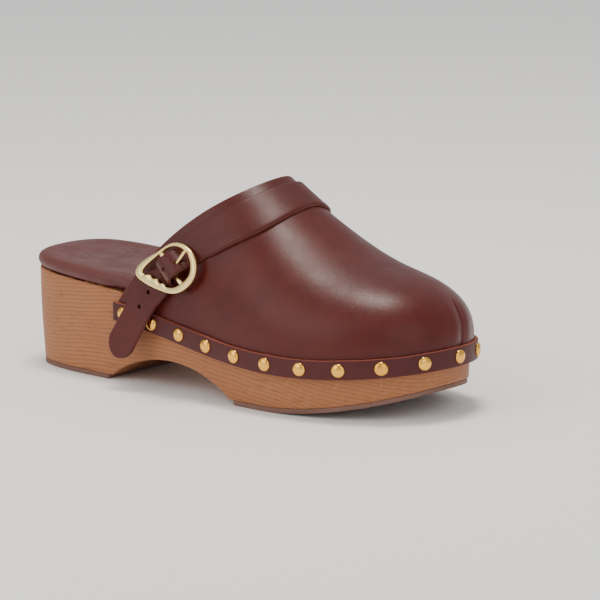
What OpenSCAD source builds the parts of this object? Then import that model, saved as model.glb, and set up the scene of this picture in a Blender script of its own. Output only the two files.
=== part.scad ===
// Wooden clog with a nailed leather upper, a strap over the instep and a buckle.
// Right shoe, real size in millimetres, standing on z = 0, toe towards +X,
// the inner side of the foot towards +Y. Heights are measured from the ground.

/* [Wooden sole] */
// Length of the wooden sole from the back of the heel to the toe
sole_l = 253.4; // [252:0.2:255]
// Width of the wooden sole across the ball of the foot
sole_w = 92.6; // [90:0.2:94]
// Height of the wood at the very back of the heel
heel_h = 50.5; // [49.5:0.1:51.5]
// Height of the wood under the ball of the foot
ball_h = 28.5; // [28:0.1:29]
// Rise of the wood from the ball to the toe on its upper side
toe_rise = 4.5; // [4:0.1:5]
// Distance from the back of the heel to the front of the heel block
heel_l = 64; // [62:0.5:66]
// Where the forefoot meets the ground
tread_x = 152; // [150:0.5:154]
// Height of the arch between heel and forefoot
arch_h = 15.2; // [14:0.1:16]
// Height of the toe tip above the ground
toe_spring = 13.6; // [12.5:0.1:14.5]
// How far the walls lean in between the top and the ground
wall_taper = 1.8; // [1.4:0.1:2]

/* [Rubber] */
// Thickness of the heel top piece
heel_rubber = 2.4; // [2:0.1:2.8]
// Thickness of the forefoot tread
tread_rubber = 2.4; // [2:0.1:2.8]

/* [Footbed] */
// Thickness of the padded footbed at its rounded edge
bed_t = 7.6; // [7:0.1:8]
// How far the footbed stands out over the wood at the heel
bed_over = 0.8; // [0.5:0.1:1]
// Leather thickness of the footbed cover
bed_leather = 1.6; // [1.4:0.1:1.8]

/* [Upper] */
// Thickness of the vamp leather
vamp_t = 1.5; // [1.4:0.1:1.5]
// Height of the upper's opening above the ground
top_h = 106; // [105:0.2:107]
// Height of the toe box above the ground
toe_h = 64.6; // [64:0.1:65.2]
// Fullness of the opening's curve seen from above, higher is squarer
top_sweep = 2.3; // [2.2:0.05:2.4]

/* [Rand and studs] */
// Height of the nailed leather rand
rand_h = 9.5; // [9:0.1:10]
// Thickness of the rand leather
rand_t = 1.85; // [1.7:0.05:2]
// Lowest height of the rand, under the ball
rand_z = 20; // [19.6:0.1:20.4]
// Number of dome nails round the rand
stud_n = 21; // [19:1:23]
// Diameter of a nail dome
stud_d = 6.9; // [6.6:0.1:7.2]
// Height of a nail dome
stud_dome = 1.7; // [1.5:0.1:1.9]

/* [Strap and buckle] */
// Width of the instep strap
strap_w = 17.2; // [16.8:0.1:17.4]
// Thickness of the strap leather
strap_t = 2; // [1.8:0.1:2]
// Distance of the strap's back edge from the opening
strap_gap = 7; // [6.5:0.1:7.5]
// Length of the loose strap end below the buckle
tail_l = 35.8; // [34:0.2:37]
// Thickness of the buckle's rails
buckle_t = 2.4; // [2.2:0.1:2.5]
// Radius of the buckle's centre bar
bar_r = 1.25; // [1.15:0.05:1.3]
// Radial play of the loops that turn on the bar
bar_play = 0.05; // [0.03:0.01:0.08]
// Distance between the holes of the strap
hole_pitch = 9.4; // [9:0.1:9.8]
// Radius of the holes punched in the strap
hole_r = 1; // [0.8:0.05:1.1]

/* [Hidden] */

// Half the overall length, so that the origin sits under the middle.
mid_x = 129.2;
mid_y = -1.02;

// Guide points of the sole's outline, heel first, then the outer side,
// the toe and the inner side. The curve is a uniform cubic B-spline.
kx = sole_l / 253.4;
ky = sole_w / 92.6;
sole_guide = [[-2, -7], [8, -31], [73, -37], [106, -38], [152, -46], [192, -49],
              [238, -37], [260, 0], [242, 42], [187, 47], [151, 42], [105, 31],
              [72, 30], [3, 37]];

// Smooth step from 0 to 1.
function ramp(t) = (1 - cos(180 * max(0, min(1, t)))) / 2;

function bs_point(g, t) =
    let (m = len(g), i = floor(t), f = t - i,
         a = g[(i + m - 1) % m], b = g[i % m], c = g[(i + 1) % m],
         d = g[(i + 2) % m])
    (pow(1 - f, 3) * a + (3 * pow(f, 3) - 6 * f * f + 4) * b
     + (1 + 3 * f + 3 * f * f - 3 * pow(f, 3)) * c + pow(f, 3) * d) / 6;

function closed_curve(g, n) = [for (k = [0 : n - 1]) bs_point(g, k * len(g) / n)];

// Outline sampled finely, with the distance walked along it.
rim_n = 560;
rim_raw = [for (p = closed_curve(sole_guide, rim_n)) [kx * p[0], ky * p[1]]];
function walk(p) =
    [for (i = 0, s = 0; i <= len(p);
          s = s + norm(p[(i + 1) % len(p)] - p[i % len(p)]), i = i + 1) s];
rim_walk = walk(rim_raw);
rim_l = rim_walk[rim_n];
rim_x = [for (i = [0 : rim_n]) [rim_walk[i], rim_raw[i % rim_n][0]]];
rim_y = [for (i = [0 : rim_n]) [rim_walk[i], rim_raw[i % rim_n][1]]];

function rim(s) = let (w = s - rim_l * floor(s / rim_l))
    [lookup(w, rim_x), lookup(w, rim_y)];
// Outward normal of the outline.
function rim_n2(s) = let (d = rim(s + 1) - rim(s - 1)) [d[1], -d[0]] / norm(d);
function rim_off(s, off) = rim(s) + off * rim_n2(s);

// Height of the wood's upper side.
function wood_top(x) =
    let (h = heel_h - 0.0514 * x)
    ball_h + (h - ball_h) * ramp((190 - x) / 130)
    + toe_rise * pow(max(0, x - 190) / 63, 1.6);

// Height of the rand's lower edge.
function rand_low(x) =
    rand_z + 13.9 * ramp((190 - x) / 150) + 4.8 * pow(max(0, x - 190) / 63, 1.9);

// Height of the walking surface, rising towards the toe.
function tread_low(x) = toe_spring * pow(max(0, x - 170) / 83, 1.9);

// Height of the arch between heel and forefoot.
function arch_low(x) =
    let (s = max(0, min(1, (x - heel_l) / (tread_x - heel_l))))
    arch_h * pow(4 * s * (1 - s), 0.8);

// Closed solid from rings with equal, even numbers of points. Point 0 is at
// the heel and the opposite point at the toe, so the ends close in strips.
module loft(rings) {
    n = len(rings[0]);
    m = len(rings);
    pts = [for (r = rings) each r];
    side = [for (j = [0 : m - 2], i = [0 : n - 1])
        let (a = j * n + i, b = j * n + (i + 1) % n)
        each [[a, b + n, b], [a, a + n, b + n]]];
    last = (m - 1) * n;
    low = [for (i = [0 : n / 2 - 1])
        let (a = i, b = i + 1, c = (n - i) % n, d = n - i - 1)
        each (i == 0 ? [[a, b, d]] : i == n / 2 - 1 ? [[a, b, c]] :
              [[a, b, c], [b, d, c]])];
    top = [for (t = low) [last + t[2], last + t[1], last + t[0]]];
    polyhedron(concat(pts), concat(side, low, top), convexity = 8);
}

ring_n = 96;
function ring_s(i) = i * rim_l / ring_n;

// ---------------------------------------------------------------- wooden sole
module wood_sole() {
    color("peru")
    difference() {
        loft([for (lv = [[0.01, wall_taper], [12, 1.1], [24, 0.4]])
                [for (i = [0 : ring_n - 1])
                    let (p = rim_off(ring_s(i), -lv[1])) [p[0], p[1], lv[0]]],
              [for (i = [0 : ring_n - 1])
                    let (p = rim(ring_s(i))) [p[0], p[1], wood_top(p[0])]]]);
        // air under the heel, the arch and the toe
        translate([0, 70, 0])
            rotate([90, 0, 0])
                linear_extrude(140)
                    polygon(concat(
                        [[-10, -5], [-10, heel_rubber], [heel_l, heel_rubber]],
                        [for (k = [1 : 23])
                            let (x = heel_l + k * (tread_x - heel_l) / 24)
                            if (arch_low(x) > tread_rubber) [x, arch_low(x)]],
                        [for (x = [tread_x : 6 : 272])
                            [x, tread_rubber + tread_low(x)]],
                        [[272, -5]]));
    }
}

module heel_top_piece() {
    color("saddlebrown")
    linear_extrude(heel_rubber)
        intersection() {
            polygon([for (i = [0 : ring_n - 1]) rim_off(ring_s(i), -wall_taper)]);
            translate([-5, -60]) square([heel_l + 4.6, 120]);
        }
}

module forefoot_tread() {
    color("saddlebrown")
    intersection() {
        linear_extrude(60)
            polygon([for (i = [0 : ring_n - 1]) rim_off(ring_s(i), -1.6)]);
        translate([0, 70, 0])
            rotate([90, 0, 0])
                linear_extrude(140)
                    polygon(concat(
                        [for (x = [tread_x : 6 : 272]) [x, tread_low(x)]],
                        [for (x = [272 : -6 : tread_x])
                            [x, tread_low(x) + tread_rubber]]));
    }
}

// ------------------------------------------------------------------- footbed
// The bed stands out over the wood at the heel and tucks inside the upper.
function bed_in(x) = -bed_over + (bed_over + 2.1) * ramp((x - 60) / 16);
// Inset and height of the rounded edge, as a share of the full thickness.
function bed_ring(inset, rise, t, lift, s_n) =
    [for (i = [0 : s_n - 1])
        let (p0 = rim(i * rim_l / s_n),
             x = p0[0],
             p = rim_off(i * rim_l / s_n, -bed_in(x) - inset),
             c = [max(48, min(205, p[0])), 1.5],
             q = c + (p - c) * lift)
        [q[0], q[1], wood_top(x + (q[0] - p0[0]) * 0.7) + 0.04 + rise * t]];

function bed_rings(t, inset, s_n) = concat(
    [for (a = [-70 : 28 : 70])
        bed_ring(inset + t / 2 * (1 - cos(a)), 0.5 + 0.5 * sin(a) / sin(70),
                 t, 1, s_n)],
    [for (f = [0.92, 0.8, 0.6, 0.35])
        bed_ring(inset + t / 2 * (1 - cos(70)), 1 + 0.06 * (f - 0.92), t, f, s_n)]);

module footbed_foam() {
    color("wheat")
    loft(concat(
        [bed_ring(3.4, 0, bed_t, 1, ring_n)],
        [bed_ring(2.6, 0.35, bed_t, 1, ring_n)],
        [bed_ring(3.6, 0.72, bed_t, 1, ring_n)],
        [for (f = [0.9, 0.6, 0.3])
            bed_ring(3.6, 0.775 + 0.02 * (f - 0.92), bed_t, f, ring_n)]));
}

module footbed_cover() {
    color("maroon")
    difference() {
        loft(bed_rings(bed_t, 0, ring_n));
        loft(concat(
            [bed_ring(3.3, -0.5, bed_t, 1, ring_n)],
            [bed_ring(2.5, 0.35, bed_t, 1, ring_n)],
            [bed_ring(3.5, 0.735, bed_t, 1, ring_n)],
            [for (f = [0.9, 0.6, 0.3])
                bed_ring(3.5, 0.79 + 0.02 * (f - 0.92), bed_t, f, ring_n)]));
    }
}

// ---------------------------------------------------------------- the upper
// The upper starts and ends at these distances along the outline.
up_a = 90 * kx;
up_b = 497 * kx;
apex = [145 * kx, 7];
crown_end = [212 * kx, 4];

// Height of the crown line over the foot.
function crown(x) =
    toe_h - 0.08 * (x - 225) + (top_h - 98.8) * ln(1 + exp((203 - x) / 12));

// Point of the upper: u runs round the outline from the outer to the inner
// side, v from the lower edge (0) up the wall (0.2) to the crown line (1),
// off is the distance of the wall from the wood.
function up_pt(u, v, off) =
    let (s = up_a + (up_b - up_a) * u,
         n = rim_n2(s),
         p = rim(s) + off * n,
         h = min(u, 1 - u),
         toe = ramp((h - 0.22) / 0.26),
         e0 = 2.2 - 0.2 * ramp(h / 0.2),
         e = e0 + (2.45 - e0) * toe,
         bulge = 1.2 * ramp(h / 0.18) * (1 - toe) + 0.2 * toe,
         k = sin(90 * min(1, h / 0.4)),
         c = apex + (crown_end - apex) * k,
         zt = rand_low(p[0]) + rand_h,
         zb = rand_low(p[0]) + 0.3,
         w = max(0, min(1, (v - 0.2) / 0.8)),
         r = pow(max(0, cos(90 * w)), 2 / e),
         g = pow(sin(90 * w), 2 / e),
         q = c + (p + n * bulge * ramp(w / 0.28) - c) * r,
         rx = r + (pow(1 - w, top_sweep) - r) * max(0, 1 - h / 0.25),
         x = c[0] + (p[0] + n[0] * bulge * ramp(w / 0.28) - c[0]) * rx)
    [x, q[1], v < 0.2 ? zb + (zt - zb) * v / 0.2
              : zt + (crown(x) - 1.8 + off - zt) * g];

// Shell between two distances, from station ja of nj (0 at the opening, nj at
// the toe) with nk steps up each side, starting at height share v0.
module up_shell(nj, nk, v0, off_out, off_in, u0 = 0) {
    w = 2 * nk + 1;
    cnt = (nj + 1) * w;
    function vv(k) = v0 + (1 - v0) * (k <= nk ? k : 2 * nk - k) / nk;
    function uu(j) = u0 + (0.5 - u0) * j / nj;
    pole = max(0, ceil(nj * (0.4 - u0) / (0.5 - u0)));
    pts = [for (o = [off_out, off_in], j = [0 : nj], k = [0 : 2 * nk])
        up_pt(k <= nk ? uu(j) : 1 - uu(j), vv(k), o)];
    function id(j, k) = k == nk && j > pole ? pole * w + nk
        : j == nj ? j * w + min(k, 2 * nk - k) : j * w + k;
    function tri(a, b, c) = a == b || b == c || a == c ? [] : [[a, b, c]];
    outer = [for (j = [0 : nj - 1], k = [0 : 2 * nk - 1])
        let (a = id(j, k), b = id(j + 1, k), c = id(j + 1, k + 1), d = id(j, k + 1))
        each concat(tri(a, c, b), tri(a, d, c))];
    inner = [for (t = outer) [t[2] + cnt, t[1] + cnt, t[0] + cnt]];
    rim_open = [for (k = [0 : 2 * nk - 1])
        let (a = id(0, k), b = id(0, k + 1))
        each [[a, a + cnt, b + cnt], [a, b + cnt, b]]];
    rim_low = [for (j = [0 : nj - 1], k = [0, 2 * nk])
        let (a = id(j, k), b = id(j + 1, k))
        each (k == 0 ? [[a, b, b + cnt], [a, b + cnt, a + cnt]]
                     : [[a, b + cnt, b], [a, a + cnt, b + cnt]])];
    polyhedron(pts, concat(outer, inner, rim_open, rim_low), convexity = 10);
}

module vamp() {
    color("brown")
    up_shell(38, 18, 0, 1.8, 1.8 - vamp_t);
}

module vamp_lining() {
    color("tan")
    up_shell(28, 12, 0.3, -0.6, -1.35, 0.012);
}

module toe_puff() {
    color("gray")
    up_shell(12, 8, 0.3, 0.12, -0.45, 0.33);
}

// ------------------------------------------------------------ rand and studs
// The rand rises over the end of the strap that is trapped under it.
strap_s = up_b - strap_gap - strap_w / 2 - 3;
function rand_lift(s) = (strap_t + 0.36) * ramp((19 - abs(s - strap_s)) / 9);

rand_a = up_a - 2;
rand_b = up_b + 1;
module rand() {
    color("brown")
    {
        n = 138;
        // section: distance from the wood and height, corners slightly rounded
        c = 0.35;
        sec = [[0, 0], [rand_t - c, 0], [rand_t, c], [rand_t, rand_h - c],
               [rand_t - c, rand_h], [0, rand_h]];
        m = len(sec);
        pts = [for (j = [0 : n], q = sec)
            let (s = rand_a + (rand_b - rand_a) * j / n,
                 b = rim_off(s, 0),
                 p = rim_off(s, 1.84 + rand_lift(s) + q[0]))
            [p[0], p[1], rand_low(b[0]) + q[1]]];
        side = [for (j = [0 : n - 1], i = [0 : m - 1])
            let (a = j * m + i, b = j * m + (i + 1) % m)
            each [[a, b, b + m], [a, b + m, a + m]]];
        polyhedron(pts, concat(side, [[for (i = [m - 1 : -1 : 0]) i]],
                               [[for (i = [0 : m - 1]) n * m + i]]), convexity = 10);
    }
}

module studs() {
    color("gold")
    for (i = [0 : stud_n - 1]) {
        s = rand_a + 7 + (rand_b - rand_a - 11) * i / (stud_n - 1);
        p = rim_off(s, 1.84 + rand_lift(s) + rand_t + 0.02);
        n = rim_n2(s);
        r = (pow(stud_d / 2, 2) + pow(stud_dome, 2)) / (2 * stud_dome);
        translate([p[0], p[1], rand_low(rim(s)[0]) + rand_h / 2])
            rotate([0, 0, atan2(n[1], n[0])])
                rotate([0, 90, 0]) {
                    intersection() {
                        translate([0, 0, stud_dome - r]) sphere(r, $fn = 32);
                        cylinder(h = stud_dome + 1, r = stud_d / 2, $fn = 32);
                    }
                    translate([0, 0, -11]) cylinder(h = 11.2, r = 0.7, $fn = 16);
                }
    }
}

// ----------------------------------------------------------- strap and buckle
// The buckle's own frame: origin on the centre bar, bu towards the strap's
// tip, bv across the strap (downwards), bw away from the shoe.
bw = [-0.06, -0.978, 0.201] / norm([-0.06, -0.978, 0.201]);
bu0 = [-0.63, 0, -0.78];
bu1 = bu0 - bw * (bu0 * bw);
bu = bu1 / norm(bu1);
bv = cross(bw, bu);
b0 = [109.2, -44, 59.6];
function bpt(a, b, c) = b0 + a * bu + b * bv + c * bw;
module at_buckle() {
    multmatrix([[bu[0], bv[0], bw[0], b0[0]], [bu[1], bv[1], bw[1], b0[1]],
                [bu[2], bv[2], bw[2], b0[2]], [0, 0, 0, 1]])
        children();
}

// Place of the centre bar between the back and the front rail
bar_a = -6.5;
frame_guide = [[14.8, -16.2], [2.5, -14.7], [-4.9, -10.8], [-15.1, -9.1],
               [-21.4, -1.8], [-22.8, 8.2], [-16.6, 16.5], [-6.2, 16.3],
               [1.8, 11.9], [6.9, 3], [10.9, -4.2]];
window_guide = [[11.1, -12.5], [1, -11], [-5.3, -9.4], [-12.8, -7.8],
                [-18.2, -3], [-20, 5.6], [-14.6, 12.9], [-7.3, 11.9],
                [0.3, 9.2], [3.5, 2.2], [5.4, -4.3]];

module buckle_frame() {
    color("gold")
    at_buckle() {
        translate([0, 0, -buckle_t / 2])
            linear_extrude(buckle_t)
                difference() {
                    polygon(closed_curve(frame_guide, 66));
                    polygon(closed_curve(window_guide, 66));
                }
        // three lobes along the inner edge of the back rail
        for (q = [[4.2, 4.7], [6.3, -0.4], [8.5, -5.4]])
            translate([q[0], q[1], -buckle_t / 2])
                cylinder(h = buckle_t, r = 2.7, $fn = 24);
        // centre bar
        translate([bar_a, -9.8, 0])
            rotate([-90, 0, 0])
                cylinder(h = 23.4, r = bar_r, $fn = 48);
    }
}

prong_b = 2.9;
prong_w = 2.2;
prong_r = 0.9;
module buckle_prong() {
    color("gold")
    at_buckle()
        difference() {
            union() {
                translate([bar_a, prong_b - prong_w / 2, 0])
                    rotate([-90, 0, 0])
                        cylinder(h = prong_w, r = bar_r + bar_play + 0.9, $fn = 48);
                // shank from the loop to the front rail, resting just above it
                translate([bar_a - 1.2, prong_b, 1.1])
                    rotate([0, -90 + 7, 0])
                        cylinder(h = 12.9, r = prong_r, $fn = 24);
            }
            translate([bar_a, prong_b - 3, 0])
                rotate([-90, 0, 0])
                    cylinder(h = 6, r = bar_r + bar_play, $fn = 48);
        }
}

// Tab that holds the buckle: a leather loop round the bar, slotted for the
// prong, whose long end lies on the upper.
tab_t = 1;
tab_end = 21.5;
function tab_low(a) = -4.6 - 0.0028 * a * a;
function tab_a(k) = -5 + (tab_end + 5) * k / 13;
module buckle_tab() {
    color("brown")
    at_buckle()
        difference() {
            translate([0, 5.5, 0])
                rotate([90, 0, 0])
                    linear_extrude(10.5)
                        difference() {
                            union() {
                                polygon(concat(
                                    [for (k = [0 : 13]) [tab_a(k), tab_low(tab_a(k))]],
                                    [for (k = [13 : -1 : 0])
                                        [tab_a(k), tab_low(tab_a(k)) + tab_t]]));
                                // rises to the bar and turns round it
                                polygon([[-4.2, tab_low(-4) + 0.05],
                                         [-4.2, tab_low(-4) + tab_t - 0.05],
                                         [-7.2, -2], [-7.6, -1.1], [-8.8, -1.5],
                                         [-8.6, -2.8], [-7.6, -4.2]]);
                                translate([bar_a, 0])
                                    circle(bar_r + 0.06 + 1, $fn = 48);
                                polygon([[-6.2, 2.2], [-4.7, 1.6], [-2.4, -2.4],
                                         [-1.2, -3.5], [1.8, -3.62], [1.8, -4.1],
                                         [-2.8, -4.1], [-3.6, -2.4], [-5.4, 0.7]]);
                            }
                            translate([bar_a, 0]) circle(bar_r + 0.06, $fn = 48);
                        }
            // slot for the prong's loop
            translate([bar_a - 3.5, prong_b - prong_w / 2 - 0.4, -2.6])
                cube([6.9, prong_w + 0.8, 8]);
        }
}

module tab_rivet() {
    color("gold")
    at_buckle()
        translate([17.6, 0.4, 0]) {
            translate([0, 0, tab_low(17.6) + tab_t + 0.05])
                cylinder(h = 0.36, r = 2.2, $fn = 32);
            translate([0, 0, tab_low(17.6) - 2])
                cylinder(h = 2 + tab_t + 0.1, r = 0.9, $fn = 24);
        }
}

// Share of u that lies d millimetres in front of the opening at height v.
function u_at(v, d, side) =
    let (a = side < 0 ? 0.02 : 0.98, e = 0.01 * side,
         l = norm(up_pt(a - e, v, 1.9) - up_pt(a, v, 1.9)) / 0.01)
    side < 0 ? d / l : 1 - d / l;

// Height of the strap's underside over the buckle's plane.
strap_h_tab = [[-30, -6.5], [-26, -5.75], [-22, -5.1], [-19, -4.8], [-16.6, -4.3],
               [-14.8, -3.6], [-13.4, -2.1], [-12, -0.1], [-10.6, 1.7], [-9, 2.7],
               [-6.5, 2.9], [-4.5, 2.6], [-3.2, 1.5], [-1.8, -0.4], [-0.5, -2.3],
               [0.7, -3.4], [2.4, -3.6], [6, -3.62], [9, -3.75], [12.4, -3.93], [17, -3.93]];
// Place of the strap's centre line across the buckle.
strap_c_tab = [[-30, 0.5], [-24, 0.5], [-19, 1.2], [-14, 1.7], [-9, 1.4],
               [-5.4, 0.8], [0, -0.2], [6, -1.3], [14, -2.5], [17, -2.9]];
function strap_c(a) = lookup(a, strap_c_tab);
function strap_half(a) = strap_w / 2 - 2.3 * ramp((14 - abs(a + 7)) / 5);

across = [-1, -0.5, 0, 0.5, 1];
// Sections of the strap: five points below and five above.
function on_upper(v, side) =
    [for (o = [2, 2 + strap_t], q = across)
        up_pt(u_at(v, strap_gap + strap_w / 2 * (1 + q), side), v, o)];
function at_bar(a) =
    let (h = lookup(a, strap_h_tab),
         g = (lookup(a + 0.5, strap_h_tab) - lookup(a - 0.5, strap_h_tab)),
         nn = [-g, 1] / norm([g, 1]))
    [for (o = [0, strap_t], q = across)
        bpt(a + nn[0] * o, strap_c(a) + strap_half(a) * q, h + nn[1] * o)];

module strip(secs) {
    m = 5;
    n = len(secs) - 1;
    pts = [for (s = secs) each s];
    function lo(j, i) = j * 2 * m + i;
    function hi(j, i) = j * 2 * m + m + i;
    turned = concat(
        [for (j = [0 : n - 1], i = [0 : m - 2])
            each [[lo(j, i), lo(j, i + 1), lo(j + 1, i + 1)],
                  [lo(j, i), lo(j + 1, i + 1), lo(j + 1, i)],
                  [hi(j, i), hi(j + 1, i + 1), hi(j, i + 1)],
                  [hi(j, i), hi(j + 1, i), hi(j + 1, i + 1)]]],
        [for (j = [0 : n - 1])
            each [[lo(j, 0), lo(j + 1, 0), hi(j + 1, 0)],
                  [lo(j, 0), hi(j + 1, 0), hi(j, 0)],
                  [lo(j, m - 1), hi(j + 1, m - 1), lo(j + 1, m - 1)],
                  [lo(j, m - 1), hi(j, m - 1), hi(j + 1, m - 1)]]],
        [for (i = [0 : m - 2])
            each [[lo(0, i), hi(0, i + 1), lo(0, i + 1)],
                  [lo(0, i), hi(0, i), hi(0, i + 1)],
                  [lo(n, i), lo(n, i + 1), hi(n, i + 1)],
                  [lo(n, i), hi(n, i + 1), hi(n, i)]]]);
    faces = [for (t = turned) [t[2], t[1], t[0]]];
    polyhedron(pts, faces, convexity = 10);
}

module punch(a, b, r) {
    at_buckle()
        translate([a, b, -12]) cylinder(h = 24, r = r, $fn = 24);
}

strap_end = 16.2;
module instep_strap() {
    color("brown")
    difference() {
        strip(concat(
            [for (k = [0 : 30]) on_upper(0.06 + 0.94 * k / 30, 1)],
            [for (k = [1 : 23]) on_upper(1 - 0.56 * k / 23, -1)],
            [for (a = [-22 : 1.35 : 15.5]) at_bar(a)],
            [at_bar(strap_end)]));
        // slot for the prong and the next two holes
        at_buckle()
            translate([-16.6, prong_b - 1.5, -3.2])
                cube([7.6, 3, 9]);
        punch(-5.4, 0.7, hole_r);
        punch(14, -2.5, hole_r);
    }
}

// Loose end: a flat strip with a rounded tip hanging from the back rail.
tail_turn = 14.6;
tail_in = -3.9;
tail_gap = 0.5;
module strap_tail() {
    color("brown")
    at_buckle()
        translate([strap_end + tail_gap, strap_c(strap_end), tail_in])
            rotate([0, 0, tail_turn])
                rotate([0, -2, 0])
                    linear_extrude(strap_t)
                        difference() {
                            union() {
                                polygon([for (q = [-1, 1]) strap_w / 2 * q *
                                             [tan(tail_turn), 1],
                                         for (q = [1, -1]) [tail_l - strap_w / 2,
                                                            strap_w / 2 * q]]);
                                translate([tail_l - strap_w / 2, 0])
                                    circle(strap_w / 2, $fn = 64);
                            }
                            translate([hole_pitch - 2.8, 0])
                                circle(hole_r, $fn = 24);
                        }
}

// ------------------------------------------------------------------- output
module place() {
    translate([-mid_x, -mid_y, 0]) children();
}

place() wood_sole();
place() heel_top_piece();
place() forefoot_tread();
place() footbed_foam();
place() footbed_cover();
place() vamp();
place() vamp_lining();
place() toe_puff();
place() rand();
place() studs();
place() instep_strap();
place() strap_tail();
place() buckle_frame();
place() buckle_prong();
place() buckle_tab();
place() tab_rivet();
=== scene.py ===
import bmesh
import bpy
import numpy as np
from mathutils import Matrix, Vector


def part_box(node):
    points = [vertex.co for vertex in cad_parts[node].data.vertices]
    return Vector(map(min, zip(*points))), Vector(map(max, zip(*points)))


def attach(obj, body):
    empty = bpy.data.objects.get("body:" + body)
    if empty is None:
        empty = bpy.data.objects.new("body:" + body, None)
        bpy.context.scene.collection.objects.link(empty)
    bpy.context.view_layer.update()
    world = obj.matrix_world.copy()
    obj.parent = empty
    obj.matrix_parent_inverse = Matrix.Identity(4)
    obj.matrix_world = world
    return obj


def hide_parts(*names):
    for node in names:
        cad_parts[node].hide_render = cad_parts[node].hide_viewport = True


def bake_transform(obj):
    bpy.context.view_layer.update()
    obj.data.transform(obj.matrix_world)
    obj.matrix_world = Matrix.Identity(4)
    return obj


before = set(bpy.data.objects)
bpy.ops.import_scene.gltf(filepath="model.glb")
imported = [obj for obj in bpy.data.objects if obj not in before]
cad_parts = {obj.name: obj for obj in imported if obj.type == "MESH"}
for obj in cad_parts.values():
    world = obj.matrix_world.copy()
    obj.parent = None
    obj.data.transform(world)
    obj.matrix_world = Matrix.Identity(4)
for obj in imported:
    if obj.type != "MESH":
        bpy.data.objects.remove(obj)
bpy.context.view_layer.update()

PI = np.pi


# ------------------------------------------------------------ basic curves
def ramp(t):
    """Smooth step: (1 - cos(pi t)) / 2 with t held between 0 and 1."""
    return (1 - np.cos(PI * np.clip(t, 0, 1))) / 2


def spline(guide, n):
    """Closed uniform cubic B-spline of the guide points at n even parameters."""
    g = np.asarray(guide, float)
    t = np.arange(n) * len(g) / n
    i = t.astype(int)
    f = (t - i)[:, None]
    a, b, c, d = (g[(i + k) % len(g)] for k in (-1, 0, 1, 2))
    return ((1 - f) ** 3 * a + (3 * f**3 - 6 * f**2 + 4) * b
            + (1 + 3 * f + 3 * f**2 - 3 * f**3) * c + f**3 * d) / 6


SOLE_GUIDE = [(-2, -7), (8, -31), (73, -37), (106, -38), (152, -46), (192, -49),
              (238, -37), (260, 0), (242, 42), (187, 47), (151, 42), (105, 31),
              (72, 30), (3, 37)]
OUTLINE = spline(SOLE_GUIDE, 2800)
OUTLINE = np.vstack([OUTLINE, OUTLINE[:1]])
WALK = np.r_[0, np.cumsum(np.linalg.norm(np.diff(OUTLINE, axis=0), axis=1))]
AROUND = WALK[-1]


def rim(s):
    """Point of the sole's outline after walking s millimetres from the heel."""
    s = np.mod(s, AROUND)
    return np.stack([np.interp(s, WALK, OUTLINE[:, 0]),
                     np.interp(s, WALK, OUTLINE[:, 1])], -1)


def rim_out(s):
    """Outward normal of the outline: its chord over 2 mm, turned by 90 degrees."""
    d = rim(np.asarray(s) + 1.0) - rim(np.asarray(s) - 1.0)
    d /= np.linalg.norm(d, axis=-1, keepdims=True)
    return np.stack([d[..., 1], -d[..., 0]], -1)


# The row frame puts the middle of the whole object over the origin.
SOLE_CORNER = rim(np.arange(96) * AROUND / 96).min(0)
SHIFT = np.r_[np.array(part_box("wood_sole")[0][:2]) * 1000 - SOLE_CORNER, 0]


def to_row(points):
    """Millimetres in the maker's frame to metres in the row frame."""
    return (np.asarray(points, float) + SHIFT) / 1000


def wood_top(x):
    """Height of the wood's upper side: heel slope, fall to the ball, toe rise."""
    heel = 50.5 - 0.0514 * x
    return (28.5 + (heel - 28.5) * ramp((190 - x) / 130)
            + 4.5 * (np.maximum(0, x - 190) / 63) ** 1.6)


def rand_low(x):
    """Height of the rand's lower edge along the shoe."""
    return (20 + 13.9 * ramp((190 - x) / 150)
            + 4.8 * (np.maximum(0, x - 190) / 63) ** 1.9)


def tread_low(x):
    """Height of the walking surface, rising as a power 1.9 towards the toe."""
    return 13.6 * (np.maximum(0, x - 170) / 83) ** 1.9


def wood_bottom(x):
    """Underside of the wood: flat heel, arch (4 t (1 - t)) ** 0.8, toe spring."""
    t = np.clip((x - 64) / 88, 0, 1)
    arch = 15.2 * (4 * t * (1 - t)) ** 0.8
    return 2.4 + np.maximum(0, arch - 2.4) + tread_low(x)


# ------------------------------------------------------------- mesh making
def grid(rows, cols, wrap_rows=False, wrap_cols=False, base=0):
    """Quads of a rows x cols grid of vertices, joined round where asked."""
    i = np.arange(rows if wrap_rows else rows - 1)[:, None]
    j = np.arange(cols if wrap_cols else cols - 1)[None, :]
    i2, j2 = (i + 1) % rows, (j + 1) % cols
    quads = np.stack([i * cols + j, i2 * cols + j, i2 * cols + j2, i * cols + j2], -1)
    return quads.reshape(-1, 4) + base


def strip_caps(ring, n, base=0):
    """Quads across a ring of n points that pairs point i with point n - i."""
    i = np.arange(n // 2)
    quads = np.stack([i, i + 1, (n - i - 1) % n, (n - i) % n], -1)
    return quads + base + ring * n


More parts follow.
